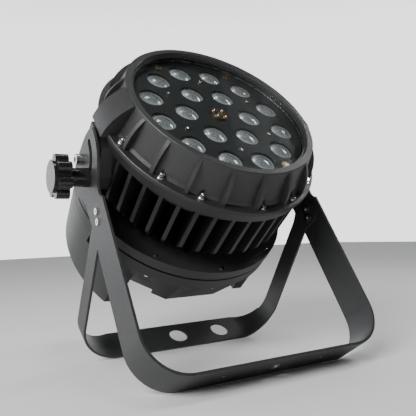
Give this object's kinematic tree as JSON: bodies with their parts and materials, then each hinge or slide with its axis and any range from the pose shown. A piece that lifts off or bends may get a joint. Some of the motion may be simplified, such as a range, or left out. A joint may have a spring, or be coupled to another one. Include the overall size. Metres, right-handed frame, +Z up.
{
  "type": "par can light",
  "caption": "Zoom wash par light: ribbed round head with finned heatsink, tilting on a double floor yoke with a clamp knob.",
  "frame": {"origin": "on the floor, below the middle of the whole light's bounding box", "axes": "+X along the tilt axis (the knob is on -X), +Z up, the light shines towards -Y and up"},
  "size_m": [0.3506, 0.3464, 0.3919],
  "materials": {
    "yoke_paint": "fine-textured satin powder coat",
    "bezel_paint": "fine-textured satin powder coat",
    "heatsink_paint": "fine-textured satin powder coat on die-cast aluminium",
    "cover_paint": "fine-textured satin powder coat",
    "stainless": "bright stainless fasteners",
    "bright_steel": "plain turned or cut steel",
    "brass": "turned brass",
    "window_glass": "clear toughened glass",
    "lens_plastic": "clear moulded lens with a fine frosted dome",
    "display_window": "smoked clear plastic",
    "black_plastic": "satin black",
    "knob_plastic": "gloss black moulded plastic",
    "rubber_seal": "black silicone",
    "circuit_board": "solder-masked board",
    "led_package": "ceramic and silicone package",
    "motor_metal": "plain metal case",
    "button_rubber": "soft-touch black",
    "socket_plastic": "satin moulded nylon"
  },
  "bodies": {
    "stand": {"front_yoke": "yoke_paint", "rear_yoke": "yoke_paint", "yoke_screws": "stainless", "yoke_nuts": "stainless"},
    "head": {"bezel": "bezel_paint", "bezel_gasket": "rubber_seal", "bezel_screws": "stainless", "breather_vent": "socket_plastic", "clamp_ring_screws": "stainless", "control_board": "circuit_board", "cover_screws": "stainless", "data_in_socket": "socket_plastic", "data_out_socket": "socket_plastic", "display_window": "display_window", "driver_board": "circuit_board", "friction_washers": "black_plastic", "front_glass": "window_glass", "glass_clamp_ring": "bright_steel", "glass_seal_front": "rubber_seal", "glass_seal_rear": "rubber_seal", "guide_posts": "bright_steel", "heatsink": "heatsink_paint", "led_board": "circuit_board", "led_board_screws": "stainless", "led_chips": "led_package", "motor_screws": "stainless", "pivot_bolts": "stainless", "power_in_socket": "socket_plastic", "power_out_socket": "socket_plastic", "power_supply": "motor_metal", "rear_cover": "cover_paint", "rear_gasket": "rubber_seal", "rear_plate": "cover_paint", "rear_plate_screws": "stainless", "zoom_motor": "motor_metal"},
    "lens_carriage": {"lens_panel": "black_plastic", "lenses": "lens_plastic", "lens_holders": "black_plastic", "lens_tray": "bright_steel", "panel_screws": "stainless", "panel_spacers": "bright_steel", "lead_nut": "brass", "lead_nut_screws": "stainless", "guide_bushes": "brass"},
    "lead_screw": {"lead_screw": "bright_steel"},
    "clamp_knob": {"clamp_knob": "knob_plastic", "clamp_stud": "stainless", "knob_washer": "black_plastic"},
    "menu_button_1": {"menu_button_1": "button_rubber"},
    "menu_button_2": {"menu_button_2": "button_rubber"},
    "menu_button_3": {"menu_button_3": "button_rubber"},
    "menu_button_4": {"menu_button_4": "button_rubber"}
  },
  "joints": [
    {"name": "head_tilt", "type": "hinge", "parent": "stand", "child": "head", "pos_m": [0.0167, -0.00628, 0.24203], "axis": [-1, 0, 0], "range_deg": [-16, 83]},
    {"name": "zoom", "type": "slide", "parent": "head", "child": "lens_carriage", "axis": [0, -0.7547, 0.6561], "range_m": [-0.02, 0]},
    {"name": "lead_screw_spin", "type": "hinge", "parent": "head", "child": "lead_screw", "pos_m": [0.0167, -0.00628, 0.24203], "axis": [0, -0.7547, 0.6561], "range_deg": [-900.5, 0.5]},
    {"name": "clamp_turn", "type": "hinge", "parent": "head", "child": "clamp_knob", "pos_m": [-0.1533, -0.02473, 0.21958], "axis": [-1, 0, 0], "range_deg": [0, 360]},
    {"name": "menu_button_1_press", "type": "slide", "parent": "head", "child": "menu_button_1", "axis": [0, -0.7547, 0.6561], "range_m": [0, 0.0015], "stiffness_N_per_m": 600, "springref_m": -0.0005},
    {"name": "menu_button_2_press", "type": "slide", "parent": "head", "child": "menu_button_2", "axis": [0, -0.7547, 0.6561], "range_m": [0, 0.0015], "stiffness_N_per_m": 600, "springref_m": -0.0005},
    {"name": "menu_button_3_press", "type": "slide", "parent": "head", "child": "menu_button_3", "axis": [0, -0.7547, 0.6561], "range_m": [0, 0.0015], "stiffness_N_per_m": 600, "springref_m": -0.0005},
    {"name": "menu_button_4_press", "type": "slide", "parent": "head", "child": "menu_button_4", "axis": [0, -0.7547, 0.6561], "range_m": [0, 0.0015], "stiffness_N_per_m": 600, "springref_m": -0.0005}
  ],
  "couplings": [
    {"joint": "lead_screw_spin", "follows": "zoom", "rad_per_m": 785.4}
  ]
}
